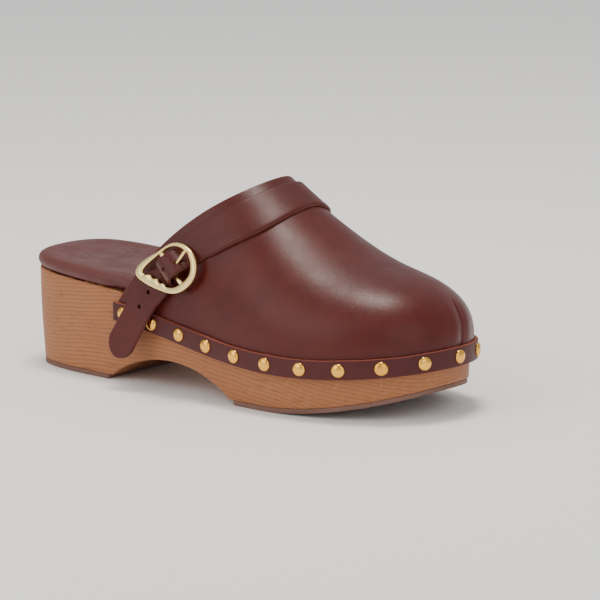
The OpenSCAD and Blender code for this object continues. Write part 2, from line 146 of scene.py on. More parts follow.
def piece(name, verts, quads, mats, which=None, merge=0.0, extra=()):
    """A closed mesh object from vertex and face arrays, with faces outwards.
    which picks each face's material; extra holds the caps with many corners."""
    mesh = bpy.data.meshes.new(name)
    faces = np.asarray(quads).tolist() + [list(f) for f in extra]
    mesh.from_pydata(to_row(verts).tolist(), [], faces)
    for mat in mats:
        mesh.materials.append(mat)
    if which is not None:
        mesh.polygons.foreach_set("material_index", np.asarray(which, np.int32))
    mesh.validate()
    obj = bpy.data.objects.new(name, mesh)
    bpy.context.scene.collection.objects.link(obj)
    b = bmesh.new()
    b.from_mesh(mesh)
    if merge:
        bmesh.ops.remove_doubles(b, verts=b.verts, dist=merge)
    loose = [v for v in b.verts if not v.link_faces]
    bmesh.ops.delete(b, geom=loose, context="VERTS")
    bmesh.ops.recalc_face_normals(b, faces=b.faces)
    if b.calc_volume(signed=True) < 0:
        bmesh.ops.reverse_faces(b, faces=b.faces)
    b.to_mesh(mesh)
    b.free()
    mesh.polygons.foreach_set("use_smooth", np.ones(len(mesh.polygons), bool))
    return obj


def finish_piece(obj, body, nodes=()):
    """Rides the piece on its body and hides the frame parts it stands for."""
    if body:
        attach(obj, body)
    if nodes:
        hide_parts(*nodes)
    return obj


def apply_modifiers(obj):
    """The modifiers' result becomes the mesh itself."""
    graph = bpy.context.evaluated_depsgraph_get()
    mesh = bpy.data.meshes.new_from_object(obj.evaluated_get(graph))
    obj.modifiers.clear()
    obj.data = mesh
    return obj


# --------------------------------------------------------------- node tools
def link(tree, a, b):
    tree.links.new(a, b)


def new_group(name, ins, outs):
    """Shader group with named value or vector inputs and outputs."""
    g = bpy.data.node_groups.new(name, "ShaderNodeTree")
    for label, kind, default in ins:
        s = g.interface.new_socket(label, in_out="INPUT", socket_type=kind)
        if default is not None:
            s.default_value = default
    for label, kind in outs:
        g.interface.new_socket(label, in_out="OUTPUT", socket_type=kind)
    return g, g.nodes.new("NodeGroupInput"), g.nodes.new("NodeGroupOutput")


def node(tree, kind, feed=None, **values):
    """New node: values set its properties, feed links or sets its sockets."""
    n = tree.nodes.new(kind)
    for key, value in values.items():
        setattr(n, key, value)
    for key, value in (feed or {}).items():
        socket = n.inputs[key]
        if isinstance(value, bpy.types.NodeSocket):
            tree.links.new(value, socket)
        else:
            socket.default_value = value
    return n


def math(tree, op, a, b=None):
    """One step of arithmetic on one or two values."""
    feed = {0: a} if b is None else {0: a, 1: b}
    return node(tree, "ShaderNodeMath", feed, operation=op).outputs[0]


def scaled(tree, vector, x, y, z):
    """The vector with its three parts multiplied, to stretch a pattern."""
    return node(tree, "ShaderNodeVectorMath", {0: vector, 1: (x, y, z)},
                operation="MULTIPLY").outputs[0]


def noise(tree, vector, scale, detail=3.0, rough=0.5, distortion=0.0):
    """Cloudy noise between 0 and 1; scale is its cells per metre."""
    return node(tree, "ShaderNodeTexNoise",
                {"Vector": vector, "Scale": scale, "Detail": detail,
                 "Roughness": rough, "Distortion": distortion}).outputs[0]


def remap(tree, value, a, b, lo=0.0, hi=1.0):
    """Smooth step of value from a..b to lo..hi, held outside."""
    return node(tree, "ShaderNodeMapRange",
                {"Value": value, "From Min": a, "From Max": b, "To Min": lo,
                 "To Max": hi}, interpolation_type="SMOOTHSTEP").outputs[0]


def blend_colour(tree, share, a, b):
    """Colour a at share 0, colour b at share 1."""
    n = tree.nodes.new("ShaderNodeMix")
    n.data_type = "RGBA"
    for key, value in ((0, share), (6, a), (7, b)):
        if isinstance(value, bpy.types.NodeSocket):
            tree.links.new(value, n.inputs[key])
        else:
            n.inputs[key].default_value = value
    return n.outputs[2]


def group_use(tree, group, **feed):
    """Places a shader group and gives its inputs their links or numbers."""
    n = tree.nodes.new("ShaderNodeGroup")
    n.node_tree = group
    for key, value in feed.items():
        socket = n.inputs[key]
        if isinstance(value, bpy.types.NodeSocket):
            tree.links.new(value, socket)
        else:
            socket.default_value = value
    return n


def grain_group():
    """Full-grain leather: pores as smooth cells, faint creases, slow tone."""
    g, i, o = new_group(
        "leather_grain",
        [("Vector", "NodeSocketVector", None), ("Pore size", "NodeSocketFloat", 1.0)],
        [("Height", "NodeSocketFloat"), ("Tone", "NodeSocketFloat"),
         ("Sheen", "NodeSocketFloat")])
    v = node(g, "ShaderNodeVectorMath", {0: i.outputs[0], 1: i.outputs[1]},
             operation="DIVIDE").outputs[0]
    warp = node(g, "ShaderNodeTexNoise", {"Vector": v, "Scale": 700.0, "Detail": 1.0})
    bent = node(g, "ShaderNodeVectorMath",
                {0: v, 1: scaled(g, warp.outputs[1], 0.0005, 0.0005, 0.0005)},
                operation="ADD").outputs[0]
    cell = node(g, "ShaderNodeTexVoronoi", {"Vector": bent, "Scale": 1500.0},
                feature="DISTANCE_TO_EDGE").outputs[0]
    cell = remap(g, cell, 0.0, 0.28)
    crease = noise(g, v, 260.0, 3.0, 0.6)
    height = math(g, "ADD", math(g, "MULTIPLY", cell, 0.55),
                  math(g, "MULTIPLY", crease, 0.45))
    tone = math(g, "ADD", math(g, "MULTIPLY", noise(g, v, 16.0, 3.0, 0.55), 0.72),
                math(g, "MULTIPLY", noise(g, v, 130.0, 3.0, 0.6), 0.28))
    link(g, height, o.inputs[0])
    link(g, remap(g, tone, 0.36, 0.64), o.inputs[1])
    link(g, remap(g, noise(g, v, 45.0, 4.0, 0.6), 0.3, 0.7), o.inputs[2])
    return g


def fibre_group():
    """Loose fibres of a cut edge or a flesh side: fine stretched noise."""
    g, i, o = new_group(
        "cut_fibres",
        [("Vector", "NodeSocketVector", None), ("Fineness", "NodeSocketFloat", 1.0)],
        [("Height", "NodeSocketFloat"), ("Tone", "NodeSocketFloat")])
    v = node(g, "ShaderNodeVectorMath", {0: i.outputs[0], 1: i.outputs[1]},
             operation="MULTIPLY").outputs[0]
    long = noise(g, scaled(g, v, 0.35, 0.35, 1.0), 1500.0, 3.0, 0.65)
    short = noise(g, v, 420.0, 4.0, 0.65)
    link(g, math(g, "ADD", math(g, "MULTIPLY", long, 0.6),
                 math(g, "MULTIPLY", short, 0.4)), o.inputs[0])
    link(g, remap(g, math(g, "ADD", math(g, "MULTIPLY", long, 0.5),
                          math(g, "MULTIPLY", short, 0.5)), 0.36, 0.66), o.inputs[1])
    return g


def wear_group():
    """Slow cloudy variation with a few fine scuffs, for colour and gloss."""
    g, i, o = new_group(
        "handling_wear", [("Vector", "NodeSocketVector", None)],
        [("Cloud", "NodeSocketFloat"), ("Scuff", "NodeSocketFloat")])
    v = i.outputs[0]
    link(g, remap(g, noise(g, v, 60.0, 4.0, 0.6), 0.35, 0.68), o.inputs[0])
    lines = noise(g, scaled(g, v, 1.0, 0.25, 2.2), 900.0, 2.0, 0.5, 0.4)
    link(g, remap(g, lines, 0.6, 0.72), o.inputs[1])
    return g


GRAIN, FIBRE, WEAR = grain_group(), fibre_group(), wear_group()


def new_material(name):
    """Empty node material with a Principled surface and Object coordinates."""
    mat = bpy.data.materials.new(name)
    mat.use_nodes = True
    tree = mat.node_tree
    tree.nodes.clear()
    out = tree.nodes.new("ShaderNodeOutputMaterial")
    shader = tree.nodes.new("ShaderNodeBsdfPrincipled")
    link(tree, shader.outputs[0], out.inputs[0])
    where = tree.nodes.new("ShaderNodeTexCoord").outputs["Object"]
    return mat, tree, shader, where


def bump(tree, shader, height, distance, strength=1.0):
    n = node(tree, "ShaderNodeBump", {"Height": height, "Distance": distance,
                                      "Strength": strength})
    link(tree, n.outputs[0], shader.inputs["Normal"])
    return n


def leather(name, deep, light, rough, pore=1.0, relief=0.00006, coat=0.04):
    """Smooth dyed leather with pores, slow tone changes and a waxed gloss."""
    mat, tree, shader, where = new_material(name)
    g = group_use(tree, GRAIN, **{"Vector": where, "Pore size": pore})
    w = group_use(tree, WEAR, Vector=where)
    colour = blend_colour(tree, g.outputs["Tone"], deep, light)
    scuffed = blend_colour(tree, math(tree, "MULTIPLY", w.outputs["Scuff"], 0.10),
                           colour, tuple(min(1, c * 1.9) for c in light[:3]) + (1,))
    link(tree, scuffed, shader.inputs["Base Color"])
    link(tree, remap(tree, g.outputs["Sheen"], 0, 1, rough - 0.05, rough + 0.06),
         shader.inputs["Roughness"])
    shader.inputs["Coat Weight"].default_value = coat
    shader.inputs["Coat Roughness"].default_value = 0.25
    shader.inputs["Specular IOR Level"].default_value = 0.25
    bump(tree, shader, g.outputs["Height"], relief, 0.55)
    return mat


def raw_edge(name, deep, light, rough=0.8, fineness=1.0, relief=0.00012):
    """Cut leather edge or flesh side: fibrous, matt and lighter than the face."""
    mat, tree, shader, where = new_material(name)
    f = group_use(tree, FIBRE, Vector=where, Fineness=fineness)
    link(tree, blend_colour(tree, f.outputs["Tone"], deep, light),
         shader.inputs["Base Color"])
    link(tree, remap(tree, f.outputs["Tone"], 0, 1, rough - 0.08, rough + 0.08),
         shader.inputs["Roughness"])
    bump(tree, shader, f.outputs["Height"], relief, 0.8)
    return mat


def metal(name, bright, deep, rough, relief=0.00001):
    """Polished plated metal with clouded polish and hair-fine scratches."""
    mat, tree, shader, where = new_material(name)
    w = group_use(tree, WEAR, Vector=where)
    link(tree, blend_colour(tree, math(tree, "MULTIPLY", w.outputs["Cloud"], 0.5),
                            bright, deep), shader.inputs["Base Color"])
    shader.inputs["Metallic"].default_value = 1.0
    gloss = math(tree, "ADD", remap(tree, w.outputs["Cloud"], 0, 1, rough, rough + 0.1),
                 math(tree, "MULTIPLY", w.outputs["Scuff"], 0.12))
    link(tree, gloss, shader.inputs["Roughness"])
    bump(tree, shader, math(tree, "ADD", w.outputs["Cloud"], w.outputs["Scuff"]),
         relief, 0.6)
    return mat


def sole_wood():
    """Brown hardwood: growth rings about an axis below the shoe, long fibres,
    short dark pores and slanting light flecks under the forefoot."""
    mat, tree, shader, where = new_material("oiled_wood")
    bend = noise(tree, scaled(tree, where, 1.0, 0.6, 0.6), 9.0, 2.0, 0.5)
    wander = noise(tree, scaled(tree, where, 0.18, 1.0, 1.0), 70.0, 3.0, 0.55)
    xyz = node(tree, "ShaderNodeSeparateXYZ", {0: where})
    x, y, z = xyz.outputs[0], xyz.outputs[1], xyz.outputs[2]
    early, late_tone = (0.345, 0.130, 0.048, 1), (0.215, 0.068, 0.022, 1)
    pale, brown = (0.45, 0.205, 0.086, 1), (0.265, 0.088, 0.031, 1)
    pore_tone, fleck_tone = (0.15, 0.050, 0.018, 1), (0.50, 0.25, 0.11, 1)
    # rings: distance from an axis that climbs gently and bends down at the toe
    lift = math(tree, "MULTIPLY", math(tree, "POWER",
                math(tree, "MAXIMUM", math(tree, "ADD", x, 0.03), 0.0), 2.0), 1.9)
    lift = math(tree, "SUBTRACT", lift, math(tree, "MULTIPLY", x, 0.117))
    dz = math(tree, "ADD", math(tree, "ADD", z, 0.055), lift)
    dy = math(tree, "ADD", y, -0.030)
    dist = math(tree, "SQRT", math(tree, "ADD", math(tree, "MULTIPLY", dz, dz),
                math(tree, "MULTIPLY", math(tree, "MULTIPLY", dy, dy), 0.35)))
    dist = math(tree, "ADD", dist, math(tree, "MULTIPLY", bend, 0.016))
    dist = math(tree, "ADD", dist, math(tree, "MULTIPLY", wander, 0.0022))
    phase = math(tree, "FRACT", math(tree, "MULTIPLY", dist, 520.0))
    late = remap(tree, phase, 0.45, 0.95)
    late = math(tree, "MULTIPLY", late, remap(tree, phase, 1.0, 0.93))
    fibre = noise(tree, scaled(tree, where, 0.035, 1.0, 1.0), 1500.0, 3.0, 0.6)
    pores = noise(tree, scaled(tree, where, 0.06, 1.0, 1.0), 900.0, 1.0, 0.5)
    pores = remap(tree, pores, 0.62, 0.72)
    slow = remap(tree, noise(tree, scaled(tree, where, 0.5, 1.0, 1.2), 30.0, 3.0, 0.55),
                 0.3, 0.7)
    turn = node(tree, "ShaderNodeMapping", {"Vector": where,
                "Rotation": (0.0, 0.9, 0.0)}).outputs[0]
    fleck = noise(tree, scaled(tree, turn, 0.16, 0.6, 1.0), 560.0, 2.0, 0.5, 1.2)
    fleck = math(tree, "MULTIPLY", remap(tree, fleck, 0.55, 0.70),
                 remap(tree, x, -0.01, 0.05))
    base = blend_colour(tree, late, early, late_tone)
    base = blend_colour(tree, math(tree, "MULTIPLY", fibre, 0.38), base, pale)
    base = blend_colour(tree, math(tree, "MULTIPLY", slow, 0.30), base, brown)
    base = blend_colour(tree, math(tree, "MULTIPLY", pores, 0.40), base,
                        pore_tone)
    base = blend_colour(tree, math(tree, "MULTIPLY", fleck, 0.22), base,
                        fleck_tone)
    link(tree, base, shader.inputs["Base Color"])
    link(tree, remap(tree, fibre, 0.3, 0.7, 0.50, 0.62), shader.inputs["Roughness"])
    shader.inputs["Specular IOR Level"].default_value = 0.35
    height = math(tree, "SUBTRACT", math(tree, "MULTIPLY", fibre, 0.5),
                  math(tree, "ADD", math(tree, "MULTIPLY", pores, 0.5),
                       math(tree, "MULTIPLY", late, 0.2)))
    bump(tree, shader, height, 0.00010, 0.6)
    return mat


def rubber():
    """Brown sole rubber: matt, finely speckled, with cloudy lighter patches."""
    mat, tree, shader, where = new_material("sole_rubber_brown")
    w = group_use(tree, WEAR, Vector=where)
    speck = noise(tree, where, 1300.0, 2.0, 0.6)
    colour = blend_colour(tree, speck, (0.115, 0.050, 0.036, 1), (0.20, 0.098, 0.070, 1))
    colour = blend_colour(tree, math(tree, "MULTIPLY", w.outputs["Cloud"], 0.35),
                          colour, (0.24, 0.13, 0.10, 1))
    link(tree, colour, shader.inputs["Base Color"])
    link(tree, remap(tree, speck, 0.3, 0.7, 0.62, 0.80), shader.inputs["Roughness"])
    bump(tree, shader, speck, 0.00008, 0.7)
    return mat


def bed_leather():
    """Footbed leather with a plain pressed oval near the heel."""
    mat, tree, shader, where = new_material("footbed_leather")
    g = group_use(tree, GRAIN, **{"Vector": where, "Pore size": 1.25})
    w = group_use(tree, WEAR, Vector=where)
    colour = blend_colour(tree, g.outputs["Tone"], (0.088, 0.0185, 0.0165, 1),
                          (0.108, 0.0240, 0.0212, 1))
    link(tree, colour, shader.inputs["Base Color"])
    link(tree, remap(tree, w.outputs["Cloud"], 0, 1, 0.42, 0.54),
         shader.inputs["Roughness"])
    shader.inputs["Specular IOR Level"].default_value = 0.38
    xyz = node(tree, "ShaderNodeSeparateXYZ", {0: where})
    ex = math(tree, "DIVIDE", math(tree, "ADD", xyz.outputs[0], 0.094), 0.0105)
    ey = math(tree, "DIVIDE", math(tree, "ADD", xyz.outputs[1], -0.001), 0.0170)
    ring = math(tree, "SQRT", math(tree, "ADD", math(tree, "MULTIPLY", ex, ex),
                                   math(tree, "MULTIPLY", ey, ey)))
    outer = math(tree, "ABSOLUTE", math(tree, "SUBTRACT", ring, 1.0))
    inner = math(tree, "ABSOLUTE", math(tree, "SUBTRACT", ring, 0.72))
    press = math(tree, "MAXIMUM", remap(tree, outer, 0.10, 0.03),
                 math(tree, "MULTIPLY", remap(tree, inner, 0.06, 0.02), 0.7))
    first = node(tree, "ShaderNodeBump", {"Height": press, "Distance": 0.0006,
                                          "Strength": 0.8}, invert=True)
    second = node(tree, "ShaderNodeBump", {"Height": g.outputs["Height"],
                  "Distance": 0.00007, "Strength": 0.6, "Normal": first.outputs[0]})
    link(tree, second.outputs[0], shader.inputs["Normal"])
    return mat


MAROON = leather("maroon_leather", (0.068, 0.0078, 0.0066, 1), (0.088, 0.0112, 0.0088, 1),
                 0.36)
STRAP_FACE = leather("strap_leather_face", (0.065, 0.0086, 0.0078, 1),
                     (0.082, 0.0120, 0.0102, 1), 0.38, 0.9)
RAND_FACE = leather("rand_leather_face", (0.058, 0.0092, 0.0094, 1),
                    (0.070, 0.0120, 0.0118, 1), 0.50, 0.9)
CUT_EDGE = raw_edge("cut_edge", (0.15, 0.026, 0.011, 1), (0.27, 0.058, 0.025, 1))
STRAP_EDGE = raw_edge("strap_cut_edge", (0.080, 0.014, 0.008, 1), (0.150, 0.030, 0.015, 1))
FLESH = raw_edge("flesh_side", (0.115, 0.032, 0.022, 1), (0.19, 0.062, 0.042, 1), 0.86,
                 0.7)
LINING = leather("lining_leather", (0.22, 0.115, 0.068, 1), (0.30, 0.165, 0.10, 1), 0.58,
                 1.1, 0.00005, 0.0)
BRASS = metal("brass_domes", (0.95, 0.50, 0.085, 1), (0.80, 0.34, 0.045, 1), 0.17)
BUCKLE = metal("buckle_gold", (0.99, 0.80, 0.36, 1), (0.95, 0.68, 0.22, 1), 0.20)
WOOD, RUBBER, BED = sole_wood(), rubber(), bed_leather()
FOAM = raw_edge("foam_core", (0.62, 0.50, 0.34, 1), (0.74, 0.62, 0.45, 1), 0.9, 1.6)
STIFF = raw_edge("puff_board", (0.22, 0.21, 0.19, 1), (0.32, 0.30, 0.27, 1), 0.85, 0.8)


# ------------------------------------------------------------ wooden sole
AROUND_N = 480
S_RING = np.arange(AROUND_N) * AROUND / AROUND_N


def shrink(points, f):
    """Moves ring points towards the sole's middle line by the share 1 - f."""
    middle = np.stack([np.clip(points[:, 0], 48, 205),
                       np.full(len(points), 1.5)], -1)
    return middle + (points - middle) * f


def make_sole():
    """Rings: underside cap, rounded lower edge, leaning wall, rounded upper
    edge, top cap. The wall's inset falls from 1.8 at the ground to 0 at top."""
    def wall_in(z):
        return np.interp(z, [0, 12, 24, 40], [1.8, 1.1, 0.4, 0.0])

    base, out = rim(S_RING), rim_out(S_RING)
    low0, high0 = wood_bottom(base[:, 0]), wood_top(base[:, 0])
    edge, lip = 0.7, 0.8
    rings = []
    foot = base - out * (wall_in(low0) + edge)[:, None]
    for f in (0.02, 0.3, 0.55, 0.75, 0.88, 0.95, 0.985):
        p = shrink(foot, f)
        rings.append(np.c_[p, wood_bottom(p[:, 0])])
    for a in np.linspace(0, PI / 2, 6):
        inset = wall_in(low0) + edge * (1 - np.sin(a))
        p = base - out * inset[:, None]
        rings.append(np.c_[p, wood_bottom(p[:, 0]) + edge * (1 - np.cos(a))])
    for t in np.linspace(0, 1, 30)[1:-1]:
        z = low0 + edge + (high0 - lip - low0 - edge) * t
        rings.append(np.c_[base - out * wall_in(z)[:, None], z])
    for a in np.linspace(0, PI / 2, 6):
        inset = wall_in(high0) + lip * (1 - np.cos(a))
        p = base - out * inset[:, None]
        rings.append(np.c_[p, wood_top(p[:, 0]) - lip * (1 - np.sin(a))])
    for f in (0.98, 0.9, 0.75, 0.5, 0.25, 0.02):
        p = shrink(rings[40][:, :2], f)
        rings.append(np.c_[p, wood_top(p[:, 0])])
    n, m = len(rings), AROUND_N
    quads = np.vstack([grid(n, m, wrap_cols=True), strip_caps(0, m), strip_caps(n - 1, m)])
    return piece("sole_block", np.concatenate(rings), quads, [WOOD], merge=2e-6)


def closed_plate(name, outline, low, high, mat):
    """Plate between two heights over a closed outline: rounded edges of 0.4 mm,
    caps drawn in towards the middle of the outline."""
    n = len(outline)
    d = np.roll(outline, -1, 0) - np.roll(outline, 1, 0)
    d /= np.linalg.norm(d, axis=1, keepdims=True)
    out = np.stack([d[:, 1], -d[:, 0]], -1)
    middle = outline.mean(0)
    r = 0.4
    rings = []
    for f in (0.02, 0.2, 0.4, 0.6, 0.8, 0.93):
        p = middle + (outline - out * r - middle) * f
        rings.append(np.c_[p, low(p)])
    for a in np.linspace(0, PI / 2, 4):
        p = outline - out * r * (1 - np.sin(a))
        rings.append(np.c_[p, low(p) + r * (1 - np.cos(a))])
    for a in np.linspace(0, PI / 2, 4):
        p = outline - out * r * (1 - np.cos(a))
        rings.append(np.c_[p, high(p) - r * (1 - np.sin(a))])
    for f in (0.93, 0.5, 0.02):
        p = middle + (outline - out * r - middle) * f
        rings.append(np.c_[p, high(p)])
    m = len(rings)
    caps = [list(range(n)), list(range((m - 1) * n, m * n))]
    return piece(name, np.concatenate(rings), grid(m, n, wrap_cols=True), [mat],
                 extra=caps)


def cut_outline(inset, lo, hi):
    """The outline, drawn in by inset, between two distances along the shoe."""
    s = np.linspace(0, AROUND, 1200, endpoint=False)
    p = rim(s) - inset * rim_out(s)
    keep = (p[:, 0] >= lo) & (p[:, 0] <= hi)
    start = np.flatnonzero(keep & ~np.roll(keep, 1))[0]
    run = np.roll(p, -start, 0)[np.roll(keep, -start)]
    straight = np.linspace(run[-1], run[0], 60)[1:-1]
    loop = np.vstack([run, straight])
    walk = np.r_[0, np.cumsum(np.linalg.norm(np.diff(np.vstack([loop, loop[:1]]),
                                                     axis=0), axis=1))]
    at = np.linspace(0, walk[-1], 300, endpoint=False)
    loop = np.vstack([loop, loop[:1]])
    loop = np.stack([np.interp(at, walk, loop[:, k]) for k in (0, 1)], -1)
    for _ in range(3):
        loop = (np.roll(loop, 1, 0) + 2 * loop + np.roll(loop, -1, 0)) / 4
    return loop


RUBBER_T = 2.4


def make_rubber():
    """Heel top piece and forefoot tread, flat below and RUBBER_T thick."""
    heel = closed_plate("heel_rubber", cut_outline(1.7, -10, 63.6),
                        lambda p: 0 * p[:, 0], lambda p: 0 * p[:, 0] + RUBBER_T, RUBBER)
    tread = closed_plate("forefoot_rubber", cut_outline(1.6, 152, 300),
                         lambda p: tread_low(p[:, 0]),
                         lambda p: tread_low(p[:, 0]) + RUBBER_T, RUBBER)
    return heel, tread


finish_piece(make_sole(), "shoe", ["wood_sole"])
heel_rubber, forefoot_rubber = make_rubber()
finish_piece(heel_rubber, "shoe", ["heel_top_piece"])
finish_piece(forefoot_rubber, "shoe", ["forefoot_tread"])


# ---------------------------------------------------------------- footbed
def make_footbed():
    """Padded leather footbed: full round edge, slightly crowned near the rim
    and dished under the heel and the ball, with faint pull-in dimples."""
    thick = 7.6
    base, out = rim(S_RING), rim_out(S_RING)
    inset0 = -0.8 + 2.9 * ramp((base[:, 0] - 60) / 16)
    rings = []

    def ring(inset, rise, f):
        p = base - out * (inset0 + inset)[:, None]
        p = shrink(p, f)
        x, y = p[:, 0], p[:, 1]
        inner = 1 - f
        heel = np.exp(-((x - 36) / 30) ** 2 - ((y - 1) / 22) ** 2)
        ball = np.exp(-((x - 178) / 34) ** 2 - ((y - 2) / 30) ** 2)
        sag = (1.1 * heel + 0.8 * ball) * ramp(inner / 0.35) * (rise > 0.99)
        swell = 0.32 * np.exp(-((inner - 0.10) / 0.08) ** 2) * (rise > 0.99)
        ripple = 0.10 * np.sin(S_RING * 2 * PI / AROUND * 37 + 3 * np.sin(S_RING / 40))
        ripple = ripple * np.exp(-(inner / 0.05) ** 2) * np.sin(PI * rise)
        z = wood_top(x) + 0.04 + rise * thick + swell - sag
        rings.append(np.c_[p + out * ripple[:, None], z])

    for f in (0.02, 0.3, 0.6, 0.85):
        ring(np.full(AROUND_N, thick / 2), 0.0, f)
    for a in np.radians(np.linspace(-90, 90, 25)):
        ring(np.full(AROUND_N, thick / 2 * (1 - np.cos(a))), (1 + np.sin(a)) / 2, 1.0)
    for f in (0.985, 0.965, 0.94, 0.91, 0.87, 0.83, 0.78, 0.72, 0.65, 0.57, 0.48, 0.38,
              0.27, 0.15, 0.02):
        ring(np.full(AROUND_N, thick / 2), 1.0, f)
    n, m = len(rings), AROUND_N
    quads = np.vstack([grid(n, m, wrap_cols=True), strip_caps(0, m), strip_caps(n - 1, m)])
    return piece("footbed_pad", np.concatenate(rings), quads, [BED], merge=2e-6)


footbed = finish_piece(make_footbed(), "shoe", ["footbed_cover"])


# --------------------------------------------------------------- the upper
UP_A, UP_B = 90.0, 497.0


def crown(x):
    """Height of the crown line: toe height, then a soft bend up the instep."""
    return 64.6 - 0.08 * (x - 225) + 7.2 * np.log1p(np.exp((203 - x) / 12))


def upper(u, v, off):
    """Point of the upper. u runs round the outline from outer to inner side, v
    up the wall (to 0.2) and over a superellipse to the crown line (1)."""
    u, v, off = np.broadcast_arrays(np.asarray(u, float), np.asarray(v, float),
                                    np.asarray(off, float))
    s = UP_A + (UP_B - UP_A) * u
    out = rim_out(s)
    p = rim(s) + out * off[..., None]
    h = np.minimum(u, 1 - u)
    toe = ramp((h - 0.22) / 0.26)
    e = 2.2 - 0.2 * ramp(h / 0.2)
    e = e + (2.45 - e) * toe
    bulge = 1.2 * ramp(h / 0.18) * (1 - toe) + 0.2 * toe
    k = np.sin(np.clip(h / 0.4, 0, 1) * PI / 2)
    cx, cy = 145 + 67 * k, 7 - 3 * k
    zt = rand_low(p[..., 0]) + 9.5
    zb = rand_low(p[..., 0]) + 0.3
    w = np.clip((v - 0.2) / 0.8, 0, 1)
    r = np.maximum(0, np.cos(w * PI / 2)) ** (2 / e)
    g = np.sin(w * PI / 2) ** (2 / e)
    swell = bulge * ramp(w / 0.28)
    qx, qy = p[..., 0] + out[..., 0] * swell, p[..., 1] + out[..., 1] * swell
    rx = r + ((1 - w) ** 2.3 - r) * np.maximum(0, 1 - h / 0.25)
    x, y = cx + (qx - cx) * rx, cy + (qy - cy) * r
    z = np.where(v < 0.2, zb + (zt - zb) * v / 0.2,
                 zt + (crown(x) - 1.8 + off - zt) * g)
    return np.stack([x, y, z], -1)


def toe_dart(points):
    """Depth of the short seam at the toe: a narrow crease in a wider dip that
    fades out where the toe turns over."""
    d = points[..., 1] - 7.6 - 0.22 * (points[..., 2] - 34)
    tall = ramp((57.5 - points[..., 2]) / 9) * (points[..., 0] > 215)
    return tall * (0.85 * np.exp(-(d / 0.65) ** 2) + 0.55 * np.exp(-(d / 3.6) ** 2)
                   - 0.18 * np.exp(-((np.abs(d) - 6.5) / 3.0) ** 2))


def shell(name, nj, nk, off_out, off_in, start_v, u0, mats, lip, dart=False):
    """Leather shell: one sheet that runs inside from the toe to the opening,
    round the cut edge (half circle, pushed out by lip) and back outside."""
    fine = 46 if dart else 12
    us = np.r_[np.linspace(u0, 0.465, nj - fine), np.linspace(0.465, 0.5, fine + 1)[1:]]
    ts = np.linspace(0, 1, nk + 1)
    ts = np.r_[ts, ts[-2::-1]]
    side = np.r_[np.zeros(nk + 1, bool), np.ones(nk, bool)]

    def sheet(uu, off):
        u = np.where(side[None, :], 1 - uu[:, None], uu[:, None])
        v0 = start_v(u)
        v = v0 + (1 - v0) * ts[None, :]
        o = np.broadcast_to(off, u.shape)
        p = upper(u, v, o)
        if dart:
            p = upper(u, v, o - toe_dart(p))
        return p

    inner, outer = sheet(us[::-1], off_in), sheet(us, off_out)
    mid, half = (off_out + off_in) / 2, (off_out - off_in) / 2
    away = sheet(np.array([u0]), mid)[0] - sheet(np.array([u0 + 0.004]), mid)[0]
    away /= np.linalg.norm(away, axis=-1, keepdims=True) + 1e-9
    turn = np.linspace(PI, 0, 9)[1:-1]
    edge = np.stack([sheet(np.array([u0]), mid + half * np.cos(a))[0]
                     + away * lip * np.sin(a) for a in turn])
    allp = np.concatenate([inner, edge, outer])
    rows, cols = allp.shape[:2]
    quads = grid(rows, cols)
    row_of = np.repeat(np.arange(rows - 1), cols - 1)
    on_edge = (row_of >= len(us) - 1) & (row_of < len(us) + len(turn))
    which = np.where(on_edge, 1, np.where(row_of < len(us) - 1, 2, 0))
    # close the hidden lower edges between the inner and the outer sheet
    mid_row = rows // 2
    k = np.arange(mid_row - 1)
    corners = []
    for c in (0, cols - 1):
        low = np.stack([k * cols + c, (k + 1) * cols + c, (rows - 2 - k) * cols + c,
                        (rows - 1 - k) * cols + c], -1)
        quads = np.vstack([quads, low])
        which = np.r_[which, np.ones(len(low), int)]
        corners.append([(mid_row + d) * cols + c for d in (-1, 0, 1)])
    which = np.r_[which, 1, 1]
    return piece(name, allp.reshape(-1, 3), quads, mats, which, merge=3e-6,
                 extra=corners)


def lining_start(u):
    """Height share where the lining clears the wood's upper edge."""
    s = UP_A + (UP_B - UP_A) * u
    x = rim(s)[..., 0]
    zt = rand_low(x) + 9.5
    share = np.clip((wood_top(x) + 0.6 - zt) / (crown(x) - zt), 0, 0.9)
    return 0.215 + 0.8 * np.arcsin(share ** 1.1) * 2 / PI


vamp = shell("vamp_shell", 190, 84, 1.8, 0.3, lambda u: 0 * u, 0.0,
             [MAROON, CUT_EDGE, FLESH], 0.45, dart=True)
finish_piece(vamp, "shoe", ["vamp"])
lining = shell("lining_shell", 90, 44, 0.12, -0.85, lining_start, 0.004,
               [LINING, CUT_EDGE, LINING], 0.3)
finish_piece(lining, "shoe", ["vamp_lining"])


# ---------------------------------------------------------- rand and domes
STRAP_S = UP_B - 7 - 8 - 3
RAND_A, RAND_B = UP_A - 2, UP_B + 1
# band height and thickness, and the leather that lies under it
RAND_H, RAND_T, UNDER_RAND = 9.5, 1.85, 1.84


def rand_lift(s):
    """The rand stands away where the strap's end is trapped under it."""
    return 2.36 * ramp((19 - np.abs(s - STRAP_S)) / 9)


def rounded_box(w, h, r, k=5):
    """Rectangle w by h from (0, 0) with round corners of k steps each."""
    a = np.linspace(0, PI / 2, k)
    arcs = [(w - r, r, -PI / 2), (w - r, h - r, 0), (r, h - r, PI / 2), (r, r, PI)]
    return np.concatenate([np.stack([x + r * np.cos(a + t), y + r * np.sin(a + t)], -1)
                           for x, y, t in arcs])


